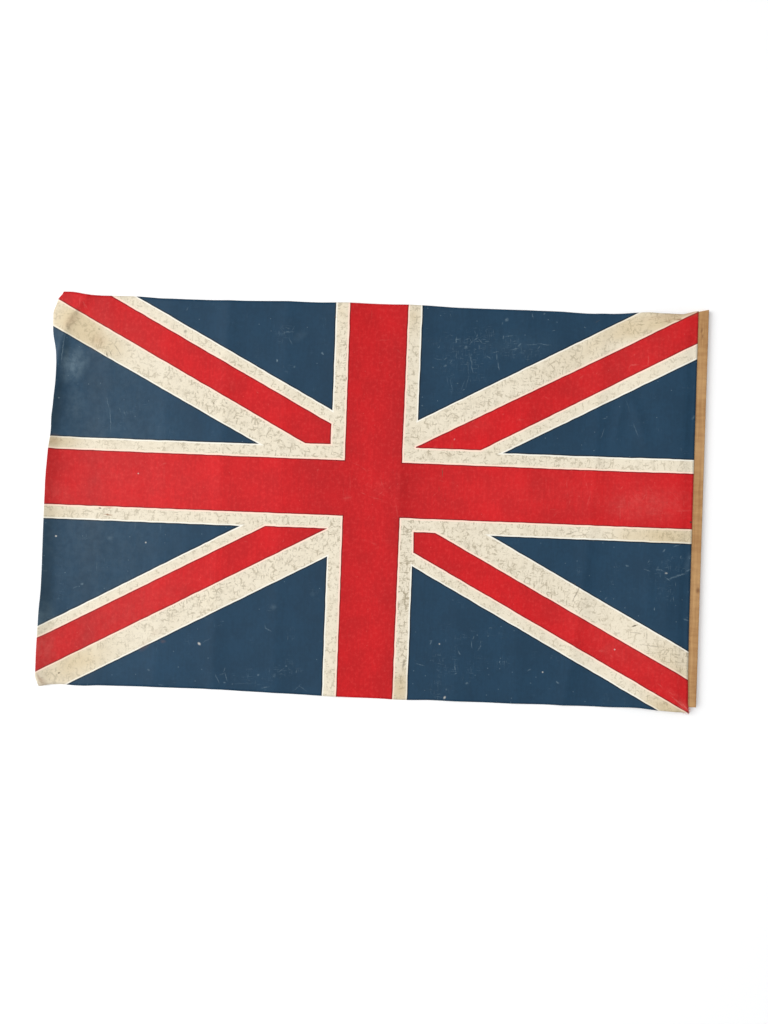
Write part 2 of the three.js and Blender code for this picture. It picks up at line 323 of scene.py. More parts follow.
# The crease of the dog-ear has a column of its own.
crease_y = CLOTH_BOTTOM + CLOTH_HEIGHT * across
for _ in range(3):
    crease_y = between_edges(ear_crease(crease_y), across)
worn_back = eased(crease_y, FLY_EDGE)
crease_x = ear_crease(crease_y) * CURL_REACH - worn_back * (FLY + CURL_REACH)
stations = [np.full_like(side, FLY), crease_x / (CURL_REACH - worn_back)]
stations += [through(fold[0], side) for fold in FOLDS]
hoist = HOIST_BOTTOM + (HOIST_TOP - HOIST_BOTTOM) * across
stations += [hoist + eased(CLOTH_BOTTOM + CLOTH_HEIGHT * across, HOIST_EDGE)]
straight_x = np.zeros_like(side)
start = 0
for count, here, there in zip(COLUMNS, stations, stations[1:]):
    within = (column >= start - 1e-3) & (column <= start + count + 1e-3)
    straight_x = np.where(within, here + (there - here) * (column - start) / count, straight_x)
    start += count

flat_y = between_edges(straight_x, across)
flat_x = straight_x + eased(flat_y, FLY_EDGE) * curled(straight_x)
draw_in = DRAW_IN * hump(flat_y, DRAW_IN_CREST, DRAW_IN_SPREAD) * curled(straight_x) ** 2
draw_in *= 1 - smooth(up_ear(flat_y), 0, 0.6)
places[:, 0] = flat_x + draw_in
places[:, 1] = flat_y
places[:, 2] = CLOTH_THICKNESS / 2 + lie(flat_x, flat_y)
cloth.data.vertices.foreach_set("co", places.ravel())

# Where each point is on the flat print, in millimetres from the middle of its cross.
PRINT_MIDDLE = (0.00155, 0.0134)
on_print = np.stack([flat_x - PRINT_MIDDLE[0], flat_y - PRINT_MIDDLE[1], 0 * side], axis=1)
print_places = cloth.data.attributes.new("print", "FLOAT_VECTOR", "POINT")
print_places.data.foreach_set("vector", (1000 * on_print).ravel())

cloth.data.uv_layers[0].name = "OFBake"
solidify = cloth.modifiers.new("thickness", "SOLIDIFY")
solidify.thickness = CLOTH_THICKNESS
solidify.offset = 0
solidify.use_even_offset = True
solidify.material_offset = 1
solidify.material_offset_rim = 1
bpy.ops.object.modifier_apply(modifier="thickness")
bpy.ops.object.shade_smooth()

# The map that a bake uses: the painted face fills most of it, the back is squeezed in below, and
# the faces of the raw edges stand in a row at the foot.
layer = cloth.data.uv_layers["OFBake"].uv
corners = np.empty(len(layer) * 2, dtype=np.float32)
layer.foreach_get("vector", corners)
corners = corners.reshape(-1, 4, 2)
face_count = sum(COLUMNS) * ROWS
painted_side = corners[:face_count, :, 1]
back = corners[face_count : 2 * face_count, :, 1]
edge_faces = corners[2 * face_count :]
corners[:, :, 0] = 0.005 + 0.99 * corners[:, :, 0]
painted_side[:] = 0.26 + 0.735 * painted_side
back[:] = 0.015 + 0.235 * back
place_in_row = np.arange(len(edge_faces))[:, None]
edge_faces[:, :, 0] = (place_in_row + np.array([0.1, 0.9, 0.9, 0.1])) / len(edge_faces)
edge_faces[:, :, 1] = np.array([0.002, 0.002, 0.010, 0.010])
layer.foreach_set("vector", corners.ravel())


# The print is a red upright and level cross with cream borders over a blue field, with four
# red and cream arms that are set off centre. Its paint has crazed, worn and taken up dirt.


def new_material(name):
    """A new material, its node tree and its shader."""
    material = bpy.data.materials.new(name)
    material.use_nodes = True
    return material, material.node_tree, material.node_tree.nodes["Principled BSDF"]


def node(tree, kind, inputs=None, **settings):
    """A new node with these settings. An input is a plain value or another node's output."""
    made = tree.nodes.new(kind)
    for name, value in settings.items():
        setattr(made, name, value)
    for name, value in (inputs or {}).items():
        if isinstance(value, bpy.types.NodeSocket):
            tree.links.new(value, made.inputs[name])
        else:
            made.inputs[name].default_value = value
    return made


def maths(tree, operation, *values):
    """The output of a Math node on up to three values."""
    return node(tree, "ShaderNodeMath", dict(enumerate(values)), operation=operation).outputs[0]


def between(tree, value, low, high):
    """How far inside the band from low to high a value is, negative outside it."""
    above_low = maths(tree, "SUBTRACT", value, low)
    return maths(tree, "MINIMUM", above_low, maths(tree, "SUBTRACT", high, value))


def ramp(tree, value, start, end, low=0.0, high=1.0):
    """Runs smoothly from low at start to high at end."""
    inputs = {"Value": value, "From Min": start, "From Max": end, "To Min": low, "To Max": high}
    made = node(tree, "ShaderNodeMapRange", inputs, interpolation_type="SMOOTHSTEP")
    return made.outputs["Result"]


def mixed(tree, share, below, above, blend="MIX"):
    """The colour above laid over the colour below, as strongly as share says."""
    made = node(tree, "ShaderNodeMix", data_type="RGBA", blend_type=blend)
    for place, value in ((0, share), (6, below), (7, above)):
        if isinstance(value, bpy.types.NodeSocket):
            tree.links.new(value, made.inputs[place])
        else:
            made.inputs[place].default_value = value
    return made.outputs[2]


def noise(tree, where, size, detail=2.0, roughness=0.5, stretch=(1, 1, 1), dimensions="2D"):
    """Cloudy noise from 0 to 1 whose blots are about this size, stretched along the axes."""
    scale = [1 / (size * part) for part in stretch]
    scaled = node(tree, "ShaderNodeVectorMath", {0: where, 1: scale}, operation="MULTIPLY")
    inputs = {"Vector": scaled.outputs[0], "Scale": 1.0, "Detail": detail, "Roughness": roughness}
    return node(tree, "ShaderNodeTexNoise", inputs, noise_dimensions=dimensions).outputs["Fac"]


def warped(tree, where, size, amount, dimensions="2D"):
    """The same places, pushed about by noise of this size by up to this amount."""
    inputs = {"Vector": where, "Scale": 1 / size, "Detail": 1.0}
    push = node(tree, "ShaderNodeTexNoise", inputs, noise_dimensions=dimensions).outputs["Color"]
    push = node(tree, "ShaderNodeVectorMath", {0: push, 1: (0.5, 0.5, 0.5)}, operation="SUBTRACT")
    inputs = {0: push.outputs[0], 1: [2 * amount] * 3, 2: where}
    return node(tree, "ShaderNodeVectorMath", inputs, operation="MULTIPLY_ADD").outputs[0]


def cracks(tree, where, cell, width):
    """A net of cracks round cells of this size: 1 on a crack and 0 off it."""
    inputs = {"Vector": where, "Scale": 1 / cell}
    settings = {"feature": "DISTANCE_TO_EDGE", "voronoi_dimensions": "2D"}
    net = node(tree, "ShaderNodeTexVoronoi", inputs, **settings)
    return ramp(tree, net.outputs["Distance"], width / cell, 0.25 * width / cell)


def dashes(tree, where, width, length, start, end):
    """Short dashes of this size along the threads, both ways across the cloth."""
    across = ramp(tree, noise(tree, where, width, 2, 0.5, (length / width, 1, 1)), start, end)
    along = ramp(tree, noise(tree, where, width, 2, 0.5, (1, length / width, 1)), start, end)
    return maths(tree, "MAXIMUM", across, along)


def spots(tree, where, cell, radius, share):
    """Round spots of this radius, in this share of cells of this size."""
    inputs = {"Vector": where, "Scale": 1 / cell}
    net = node(tree, "ShaderNodeTexVoronoi", inputs, feature="F1", voronoi_dimensions="2D")
    dot = ramp(tree, net.outputs["Distance"], radius / cell, 0.3 * radius / cell)
    pick = node(tree, "ShaderNodeSeparateColor", {"Color": net.outputs["Color"]}).outputs["Red"]
    return maths(tree, "MULTIPLY", dot, maths(tree, "LESS_THAN", pick, share))


def marks(tree, where, table):
    """Marks given one by one, each a long spot that fades to its edge: x, y, slope in degrees, half
    its length, half its width and how strong it is."""
    total = 0.0
    for x, y, slope, length, width, strength in table:
        spot = node(tree, "ShaderNodeTexGradient", {"Vector": where}, gradient_type="SPHERICAL")
        spot.texture_mapping.vector_type = "TEXTURE"
        spot.texture_mapping.translation = (x, y, 0)
        spot.texture_mapping.rotation = (0, 0, math.radians(slope))
        spot.texture_mapping.scale = (length, width, 1000)
        total = maths(tree, "MULTIPLY_ADD", spot.outputs["Fac"], strength, total)
    return total


def weave_of(tree, where):
    """The crossing threads of the cloth, from 0 in the gaps to 1 on the threads."""
    inputs = {"Vector": where, "Scale": 0.36}
    warp = node(tree, "ShaderNodeTexWave", inputs, bands_direction="X")
    weft = node(tree, "ShaderNodeTexWave", inputs, bands_direction="Y")
    return maths(tree, "MULTIPLY", warp.outputs["Fac"], weft.outputs["Fac"])


def in_millimetres(tree):
    """The place on the object, in millimetres."""
    where = node(tree, "ShaderNodeTexCoord").outputs["Object"]
    inputs = {"Vector": where, "Scale": (1000, 1000, 1000)}
    return node(tree, "ShaderNodeMapping", inputs).outputs["Vector"]


def add_bump(tree, shader, relief, strength, depth):
    """Gives the shader the fine relief of this height map."""
    inputs = {"Height": relief, "Strength": strength, "Distance": depth}
    bump = node(tree, "ShaderNodeBump", inputs)
    tree.links.new(bump.outputs["Normal"], shader.inputs["Normal"])


RED = (0.545, 0.0090, 0.0120, 1)
BLUE = (0.0128, 0.0445, 0.084, 1)
CREAM = (0.79, 0.715, 0.57, 1)
RIM_AT_BLUE = (0.95, 0.94, 0.87, 1)
RIM_AT_RED = (0.98, 0.73, 0.60, 1)
AGED_CREAM = (0.62, 0.50, 0.31, 1)
GRIME = (0.25, 0.20, 0.115, 1)
WORN_AND_SHEEN_RED = (0.68, 0.20, 0.17, 1)
WORN_AND_SHEEN_BLUE = (0.28, 0.39, 0.45, 1)
CHIPPED = (0.62, 0.61, 0.56, 1)
DARK_SPECK_AND_SHADE = (0.10, 0.075, 0.045, 1)
STAIN_AND_SHADE_BROWN = (0.30, 0.14, 0.07, 1)
SHADE_TINT = (0.62, 0.60, 0.50, 1)

# Each arm: the sides of the cross it lies on, its slope, its four paint edges from the upper side
# down, and where its red stops beside the cross. An edge is how far it is from the middle at right
# angles to the arm, and how much further for each millimetre outwards.
ARMS = (
    (-1, 1, -28.05, ((67.5, 0), (50.3, 0), (7.9, 0), (-24.6, -0.0082)), 60.5, 60.6),
    (1, -1, -28.05, ((27.5, -0.0032), (-8.6, 0.0023), (-48.1, 0.002), (-65.1, 0)), 61.0, 58.0),
    (1, 1, 28.2, ((58.1, 0), (26.5, -0.009), (-18.9, 0.0045), (-34.9, -0.0027)), 59.6, 59.8),
    (-1, -1, 28.4, ((36.2, -0.005), (19.6, 0), (-22.3, 0), (-57.5, 0)), 61.0, 57.8),
)

# Pale scratches and chips in the paint, and painted highlights along the dog-ear's crease.
SCRATCHES_AND_CREASE_HIGHLIGHTS = (
    (-379, 108, 105, 10, 0.8, 0.35), (-374, 84, 95, 22, 0.8, 0.45), (-361, 98, 110, 4, 0.8, 0.3),
    (-354, 93, 115, 5, 0.8, 0.3), (-452, 111, 20, 2.2, 1.4, 0.7), (-404, -150, 20, 3, 2, 0.5),
    (-413, -155, 25, 5, 1, 0.35), (-428, -135, 0, 1.3, 1.3, 0.5), (-459, -125, 0, 2, 1.2, 0.5),
    (-384, -125, 90, 8, 0.8, 0.25), (-224, -222, 30, 10, 1.2, 0.15), (-304, -267, 0, 2.6, 2, 0.4),
    (-262, -261, 0, 1.5, 1.2, 0.4), (-229, -263, 0, 1.5, 1.2, 0.4), (-206, -275, 118, 9, 0.9, 0.4),
    (-194, -272, 112, 8, 0.9, 0.4), (-197, -262, 70, 4, 1, 0.4), (-196, -280, 0, 2, 1.5, 0.5),
    (-200, -268, 20, 6, 0.8, 0.3), (-285, -287, -8, 6, 1, 0.3), (-332, -66, 90, 8, 1.5, 0.14),
    (-296, -66, 90, 8, 1.5, 0.14), (-138, -203, -25, 7, 1, 0.4), (-142, -199, -70, 4, 0.8, 0.3),
    (-110, -253, 0, 1.8, 1.2, 0.5), (-117, -259, 35, 6, 1, 0.3), (-149, -267, 0, 2.6, 1.8, 0.5),
    (-138, -284, 12, 7, 1, 0.45), (-93, -282, 42, 10, 0.8, 0.25), (-86, -283, -32, 9, 0.8, 0.25),
    (-170, -280, 5, 22, 0.8, 0.15), (91, -212, 62, 4, 1, 0.5), (91, -209, 10, 3, 1, 0.4),
    (112, -208, 90, 3, 0.8, 0.3), (148, -212, 100, 6, 1, 0.5), (159, -216, 60, 6, 1, 0.4),
    (160, -208, 100, 3, 0.8, 0.3), (131, -224, 120, 5, 1, 0.5), (126, -245, 100, 5, 1.2, 0.5),
    (127, -253, 40, 3, 1, 0.4), (77, -243, -14, 8, 0.9, 0.4), (143, -266, 20, 3, 2, 0.5),
    (115, -276, 0, 1.5, 1.5, 0.5), (188, -234, 70, 2.4, 1, 0.5), (229, -244, 30, 4, 1, 0.4),
    (269, -259, -30, 3.5, 1.5, 0.5), (232, -262, 0, 1.6, 1.3, 0.4), (173, -188, 0, 2.5, 1, 0.4),
    (150, -202, 70, 3, 0.8, 0.4), (173, -253, 0, 1.6, 1.2, 0.4), (110, 213, 90, 5, 1.1, 0.7),
    (113, 215, 8, 4, 0.9, 0.5), (125, 215, 20, 4, 0.9, 0.4), (131, 211, 60, 4, 0.9, 0.4),
    (138, 216, 35, 5, 1, 0.55), (144, 213, -42, 5, 1, 0.5), (153, 213, 5, 4, 1.2, 0.45),
    (124, 204, 20, 3, 2.6, 0.45), (139, 221, 90, 3, 0.8, 0.4), (176, 220, 90, 4, 1, 0.45),
    (184, 222, 12, 7, 0.9, 0.4), (192, 204, 14, 8, 0.9, 0.4), (199, 210, 45, 4, 1.4, 0.45),
    (216, 211, 6, 9, 0.9, 0.35), (233, 212, -6, 12, 0.9, 0.4), (226, 207, 60, 4, 0.9, 0.4),
    (180, 245, 35, 4, 3, 0.5), (174, 240, 80, 3, 1.4, 0.3), (216, 252, 105, 5, 1, 0.5),
    (232, 255, 0, 1.8, 1.5, 0.6), (250, 244, 0, 1.8, 1.2, 0.4), (246, 232, 20, 3, 1, 0.35),
    (157, 191, -32, 5, 0.9, 0.4), (168, 192, 95, 5, 1, 0.6), (171, 179, 100, 7, 1.2, 0.6),
    (166, 199, 12, 5, 0.9, 0.4), (86, 186, -10, 8, 0.8, 0.25), (96, 177, 20, 3, 2, 0.5),
    (96, 187, 35, 4, 0.9, 0.4), (104, 183, 60, 4, 0.9, 0.3), (79, 174, 0, 1.8, 1.5, 0.35),
    (132, 186, 100, 12, 0.9, 0.4), (128, 176, 96, 14, 0.7, 0.3), (134, 174, 105, 7, 1.1, 0.45),
    (128, 156, 78, 12, 0.8, 0.25), (122, 150, 70, 10, 0.8, 0.2), (106, 150, 105, 12, 0.8, 0.25),
    (100, 156, 100, 8, 0.8, 0.18), (123, 144, 30, 2.5, 1, 0.5), (114, 153, 0, 1.4, 1.4, 0.4),
    (66, 120, 0, 1.5, 1.5, 0.5), (66, 132, 0, 1.5, 1.5, 0.4), (86, 202, 0, 2, 1.2, 0.3),
    (442, 116, 60, 5, 2, 0.35), (444, 108, 100, 5, 1, 0.25), (321, 111, 12, 5, 0.8, 0.35),
    (319, 90, 72, 9, 0.9, 0.35), (364, 96, -68, 12, 0.8, 0.3), (352, 130, 110, 14, 0.7, 0.12),
    (-126, 217, 5, 9, 1.4, 0.3), (-123, 204, -62, 7, 1.2, 0.25), (-120, 222, 60, 5, 1, 0.2),
    (-141, 176, 90, 2.8, 1.8, 0.8), (-77, 188, -50, 2.8, 1.8, 0.6), (-116, 168, 60, 2.4, 1.6, 0.4),
    (-272, 245, 65, 4, 1.4, 0.3), (407, -70, 60, 3, 1.4, 0.6), (403, -97, -12, 6, 1, 0.4),
    (422, -106, 22, 14, 1.4, 0.4), (432, -102, 12, 10, 1.2, 0.4), (443, -95, 28, 9, 1.2, 0.45),
    (413, -109, -32, 6, 1, 0.4), (430, -78, 80, 3, 1.2, 0.5), (399, -95, 70, 5, 0.9, 0.3),
    (445, -75, 40, 6, 1.4, 0.3), (385, -98, -20, 6, 0.9, 0.35), (387, -86, 60, 4, 0.9, 0.3),
    (359, -93, -20, 2.6, 1.4, 0.55), (397, -151, 90, 3, 1.2, 0.6), (332, -140, 60, 3, 1.2, 0.4),
    (422, -136, 90, 4, 0.9, 0.4), (441, -164, -15, 6, 1.2, 0.5), (434, -137, 0, 1.5, 1.2, 0.5),
    (424, -116, 90, 3, 0.8, 0.4), (423, -63, 20, 5, 1, 0.4), (-317, 35, 110, 4, 1.4, 0.4),
    (-295, 24, 25, 5, 1.6, 0.35), (-335, 24, -62, 5, 0.8, 0.25), (-294, 4, 92, 20, 2, 0.14),
    (-167, 130, -30, 3, 1, 0.5), (-206, 140, -70, 14, 0.9, 0.15), (-417, 245, -58, 7, 1.3, 0.35),
    (-424, 252, 90, 6, 1, 0.2), (-385, 249, 20, 5, 1.2, 0.2), (-390, -213, -52, 9, 0.9, 0.4),
    (-175, -81, -8, 4, 1.2, 0.4), (-122, -78, 62, 3, 1, 0.45), (-77, 24, 30, 2.6, 1.4, 0.4),
    (-34, -14, 10, 9, 1.8, 0.22), (-12, -7, -25, 5, 1.2, 0.4), (6, -13, -12, 14, 1.2, 0.25),
    (12, -6, 40, 6, 1, 0.4), (14, 8, 110, 8, 1, 0.3), (4, -1, 45, 5, 0.9, 0.3),
    (25, 3, 50, 5, 0.9, 0.3), (-12, 27, -40, 7, 1.2, 0.3), (-24, 34, -20, 8, 1.2, 0.25),
    (36, -28, 100, 14, 1.4, 0.25), (-31, 8, 95, 16, 1.2, 0.2), (5, -76, -28, 7, 2, 0.25),
    (-8, -72, 20, 5, 1, 0.2), (-3, -40, 60, 4, 0.9, 0.3), (-23, 13, 0, 1.5, 1.5, 0.3),
    (97, 15, -5, 5, 1, 0.3), (88, -5, 45, 6, 0.9, 0.3), (86, 62, 5, 5, 1, 0.3),
    (138, 100, 45, 7, 0.9, 0.35), (143, 93, -30, 6, 0.9, 0.3), (180, 112, 0, 1.8, 1.4, 0.5),
    (204, 105, 8, 7, 1.5, 0.35), (287, 168, 45, 7, 1.5, 0.3), (303, 148, -20, 6, 1, 0.25),
    (240, 137, -30, 6, 1, 0.2), (359, 187, 2, 8, 1.3, 0.55), (353, 184, 60, 4, 1, 0.4),
    (378, 193, 88, 9, 1.3, 0.45), (373, 186, 10, 6, 1, 0.3), (8, 210, 6, 12, 1.6, 0.2),
    (-10, 246, 88, 8, 1, 0.2), (30, 195, -42, 5, 1, 0.3), (5, 178, 10, 5, 1.2, 0.25),
    (348, 15, 60, 3, 1.2, 0.45), (347, -22, 88, 11, 1.2, 0.35), (345, -12, 12, 8, 1, 0.3),
    (378, 3, 60, 11, 1, 0.3), (386, 15, -60, 8, 1, 0.25), (367, 2, -45, 7, 1, 0.25),
    (410, -6, -38, 11, 1, 0.25), (420, 5, -50, 10, 1, 0.25), (432, -14, 5, 16, 1.6, 0.25),
    (303, -4, 78, 16, 1.2, 0.3), (300, 16, 100, 6, 0.9, 0.3), (297, 31, 80, 6, 0.9, 0.3),
    (243, 20, 95, 6, 1, 0.3), (272, 17, 92, 7, 1.1, 0.35), (277, -8, 70, 6, 0.9, 0.3),
    (254, -19, 5, 7, 0.9, 0.3), (258, -25, 62, 6, 0.9, 0.25), (342, -219, -40, 4, 1.2, 0.35),
    (328, -213, 0, 6, 1.8, 0.3), (408, -256, -42, 7, 1.1, 0.35), (416, 18, 60, 8, 0.9, 0.2),
    (160, -48, 0, 8, 0.8, 0.1), (393, -20, 4, 12, 1.2, 0.2), (352, -2, 100, 8, 0.9, 0.2),
    (434, -278, -37, 17, 1.3, 0.8), (424, -266, -30, 12, 1, 0.25), (-448, 180, 78, 26, 1.0, 0.5),
    (-425, 250, 88, 13, 0.9, 0.4), (-419, 246, 108, 9, 0.8, 0.35), (443, -283, -42, 13, 1.1, 0.8),
    (447, -288, -50, 8, 1.4, 0.9), (439, -286, -33, 10, 0.9, 0.6), (450, -283, -66, 9, 1.1, 0.7),
)

# Chips down to the ground.
CHIPS = (
    (-443, -84, 0, 1.8, 1.6, 1.2), (-316, -88, 0, 1.5, 1.5, 1.0), (-234, -227, -40, 3.2, 2.2, 1.0),
    (248, -246, 0, 1.5, 1.5, 0.9), (411, -101, 0, 2.4, 1.6, 0.6), (-331, 9, 0, 1.4, 1.3, 0.8),
    (113, 74, 60, 2, 1.2, 0.35), (346, -210, 0, 1.6, 1.4, 0.8), (103, -213, 0, 1.4, 1.4, 0.8),
    (113, -287, 60, 3, 2, 0.8),
)

# Where the paint is scuffed all over.
SCUFFED = (
    (150, 205, 0, 110, 40, 1.0), (120, 170, 0, 50, 35, 0.8), (130, -240, 0, 90, 50, 0.7),
    (410, -100, 0, 40, 45, 0.9), (-195, -270, 0, 25, 20, 0.7), (-130, -265, 0, 60, 25, 0.7),
    (143, 97, 0, 30, 20, 0.6), (390, -5, 0, 80, 38, 0.7), (280, 0, 0, 50, 35, 0.5),
    (5, 5, 0, 45, 45, 0.6), (-125, 212, 0, 30, 20, 0.5), (-360, 95, 0, 30, 15, 0.5),
    (430, -265, -30, 30, 14, 0.8),
)

# Painted shade along the fly end, where its curl turns away from the light, and beside the dog-ear's
# crease.
PAINTED_FLY_END_SHADE = (
    (-458, 82, 90, 36, 14, 0.5), (-456, -120, 90, 130, 16, 0.4), (-450, -190, 90, 50, 20, 0.35),
    (-442, 182, 80, 26, 7, 0.45), (-452, 125, 80, 30, 8, 0.3), (-425, 240, 60, 20, 9, 0.2),
)

# Broad bands where the red and blue are painted lighter or darker: painted light and shade of the
# folds and ripples that rolling left in the cloth.
FOLD_LIGHT_AND_SHADE = (
    (-450, 0, 0, 18, 900, -0.10), (-395, 0, 0, 22, 900, -0.14), (-350, 0, 0, 28, 300, 0.06),
    (-290, 0, 0, 42, 240, 0.11), (-225, 0, 0, 28, 240, 0.10), (-150, 0, 0, 32, 240, 0.06),
    (-60, 0, 0, 60, 500, -0.13), (42, 0, 0, 28, 900, -0.18), (72, 0, 0, 30, 900, -0.05),
    (172, 0, 0, 55, 260, 0.11), (320, 0, 0, 18, 260, 0.07), (-300, -250, 0, 90, 60, 0.14),
    (-380, -215, 28, 130, 50, -0.10), (0, 200, 90, 130, 44, -0.06), (350, 190, 28, 160, 44, -0.06),
)

# Dusty rubs and paler places, broad and soft. Some of them are painted sheen: the broad lightening
# over the fly end's third, and the pale patches on the dog-ear and near the fly edge.
RUBS_AND_SHEEN = (
    (280, 0, 0, 270, 62, 0.07), (-250, 0, 0, 150, 60, 0.045), (-340, -190, 28, 170, 50, 0.12),
    (-380, 200, -28, 110, 46, 0.08), (350, 190, 28, 170, 44, 0.07), (350, -200, -28, 170, 46, 0.09),
    (-390, 0, 90, 340, 170, 0.09),
    (-432, 160, 60, 32, 25, 0.36), (-426, 104, 90, 30, 16, 0.08), (-367, -84, 0, 6, 4, 0.16),
    (-445, -22, -15, 34, 18, 0.12), (395, -6, 5, 62, 30, 0.16), (352, -10, 0, 40, 24, 0.08),
    (-132, -171, 0, 6, 5, 0.14), (-77, -151, 0, 5, 4, 0.1), (-35, -14, 0, 9, 6, 0.12),
    (12, 2, 60, 24, 14, 0.06), (146, 96, 20, 30, 16, 0.08), (-110, 212, 40, 16, 8, 0.07),
    (444, -82, 70, 20, 9, 0.14), (200, 212, 0, 70, 26, 0.035), (-452, 190, 80, 30, 10, 0.06),
    (-460, -235, 90, 70, 34, 0.32), (-205, 145, -70, 24, 10, 0.05), (340, -214, -30, 22, 10, 0.08),
    (425, -268, -34, 30, 8, 0.1), (442, -283, -40, 15, 8, 0.3),
)

# Dark specks, dashes and dents, and painted shade along the dog-ear's crease.
SPECKS_AND_CREASE_SHADE = (
    (-383, -42, 0, 2.6, 1.8, 1.2), (-430, -276, 0, 2, 1.5, 1.2), (371, -176, 25, 4.5, 1.1, 1.5),
    (-273, 213, 40, 3.6, 2.8, 0.7), (-396, 212, 0, 2, 1.4, 0.8), (-383, 176, -68, 6, 1.3, 0.9),
    (-378, 178, -60, 6, 1, 0.6), (-61, 240, 0, 2, 1.5, 1.3), (98, 27, 92, 9, 1, 0.8),
    (94, 4, 95, 6, 0.8, 0.4), (290, -136, 68, 17, 0.9, 0.8), (288, -122, 80, 3, 1, 0.6),
    (-392, 190, 70, 8, 1.6, 0.4), (-404, 196, 80, 9, 3, 0.35), (-370, 186, -50, 7, 1.2, 0.5),
    (-365, 178, -55, 7, 1, 0.4), (-210, 113, 0, 2, 1.6, 0.8), (-228, 112, -40, 3, 1.4, 0.6),
    (-42, 154, 90, 3, 1.2, 0.8), (283, -50, 20, 12, 0.9, 0.6), (296, -53, 8, 14, 0.9, 0.5),
    (372, -185, -5, 12, 1, 0.5), (395, -202, -4, 22, 0.9, 0.5), (388, -188, 90, 8, 1.4, 0.35),
    (-435, 226, 62, 14, 4, 0.25), (-428, 236, 80, 8, 3, 0.3), (-440, 214, 100, 7, 3, 0.3),
    (-207, 95, 70, 6, 1, 0.3), (54, -244, 80, 9, 2.4, 0.6), (51, -262, 80, 6, 1.4, 0.4),
    (307, 247, 30, 5, 1, 0.3), (216, 137, -20, 4, 1, 0.4),
)

# Brown stains, and brown painted shade along the dog-ear's crease in the cream.
STAINS_AND_CREASE_SHADE = (
    (-371, -51, -3, 8, 1.3, 1.2), (-370, -41, 0, 8, 1.1, 0.6), (-452, -287, -40, 11, 4, 0.4),
    (-457, -281, -62, 12, 2.2, 0.3), (418, 258, 8, 60, 7, 0.35), (-453, -292, 0, 8, 3, 0.3),
    (417, 251, 10, 6, 1.8, 1.1), (405, 250, 15, 18, 2.4, 0.4), (-311, -232, 50, 14, 7, 0.2),
    (-296, -214, 20, 10, 6, 0.15), (-285, -226, 0, 5, 3, 0.2), (-452, 50, 90, 12, 12, 0.3),
    (-436, 222, 50, 20, 9, 0.25), (-396, 196, 60, 20, 16, 0.2), (110, 62, 90, 12, 3, 0.15),
)

# Where the crazing of the cream is worst.
DIRTIED = (
    (432, -212, -28, 60, 44, 0.5), (250, -140, -28, 130, 34, 0.35), (130, -95, -28, 60, 40, 0.35),
    (50, -150, 90, 140, 26, 0.4), (-50, -55, 0, 34, 34, 0.25), (-370, -49, 0, 100, 18, 0.3),
    (-230, 125, -28, 130, 34, 0.3), (-250, -168, 28, 140, 34, 0.35), (240, 160, 28, 140, 36, 0.35),
    (400, -275, 0, 70, 22, 0.5), (395, 250, 10, 70, 22, 0.4), (300, 48, 0, 150, 18, 0.25),
    (-50, 180, 90, 100, 20, 0.2), (420, -48, 0, 50, 14, 0.4),
)

# Where the cream has yellowed most.
YELLOWED = (
    (-440, 225, 0, 60, 46, 0.9), (-398, 196, -28, 60, 34, 0.8), (-410, -262, 20, 80, 40, 0.8),
    (-455, 50, 0, 60, 20, 0.9), (-450, -50, 0, 60, 20, 0.4), (410, -50, 0, 90, 24, 1.0),
    (405, 248, 10, 100, 30, 1.0), (425, -245, -28, 70, 60, 0.7), (420, -288, 0, 70, 20, 0.8),
    (50, -278, 0, 22, 40, 0.9), (50, 245, 0, 22, 36, 0.5), (-50, 246, 0, 22, 26, 0.4),
    (300, 215, 28, 120, 40, 0.4), (-60, 200, 0, 20, 40, 0.2),
)

paint, tree, shader = new_material("painted_cotton")
where = node(tree, "ShaderNodeAttribute", attribute_name="print").outputs["Vector"]
crooked = warped(tree, where, 5.0, 0.9)
wavering = warped(tree, where, 18.0, 0.5)
axes = node(tree, "ShaderNodeSeparateXYZ", {"Vector": wavering})
x, y = axes.outputs["X"], axes.outputs["Y"]

# The distances inside the red paint, and inside red and cream together.
upright = maths(tree, "MULTIPLY_ADD", y, 0.004, x)
red_right = maths(tree, "MULTIPLY_ADD", y, 0.0065, 40.9)
red_above = maths(tree, "MULTIPLY_ADD", x, -0.0024, 38.8)
cream_right = maths(tree, "MULTIPLY_ADD", y, 0.005, 60.6)
red_upright = between(tree, upright, -39.8, red_right)
red_edge = maths(tree, "MAXIMUM", red_upright, between(tree, y, -39.4, red_above))
cream_upright = between(tree, upright, -59.4, cream_right)
cream_edge = maths(tree, "MAXIMUM", cream_upright, between(tree, y, -59.1, 57.0))
for side_x, side_y, slope, edges, stop_x, stop_y in ARMS:
    slope = math.radians(slope)
    off = maths(tree, "MULTIPLY_ADD", x, -math.sin(slope), maths(tree, "MULTIPLY", y, math.cos(slope)))
    out_x, out_y = maths(tree, "MULTIPLY", x, side_x), maths(tree, "MULTIPLY", y, side_y)
    edges = [maths(tree, "MULTIPLY_ADD", out_x, taper, edge) for edge, taper in edges]
    arm = between(tree, off, edges[3], edges[0])
    arm = maths(tree, "MINIMUM", arm, maths(tree, "MINIMUM", out_x, out_y))
    cream_edge = maths(tree, "MAXIMUM", cream_edge, arm)
    clear_x, clear_y = maths(tree, "SUBTRACT", out_x, stop_x), maths(tree, "SUBTRACT", out_y, stop_y)
    clear = maths(tree, "MINIMUM", clear_x, clear_y)
    red_arm = maths(tree, "MINIMUM", between(tree, off, edges[2], edges[1]), clear)
    red_edge = maths(tree, "MAXIMUM", red_edge, red_arm)
is_cream = ramp(tree, cream_edge, -0.3, 0.3)
is_red = ramp(tree, red_edge, -0.3, 0.3)
from_edge = maths(
    tree, "MINIMUM", maths(tree, "ABSOLUTE", red_edge), maths(tree, "ABSOLUTE", cream_edge)
)

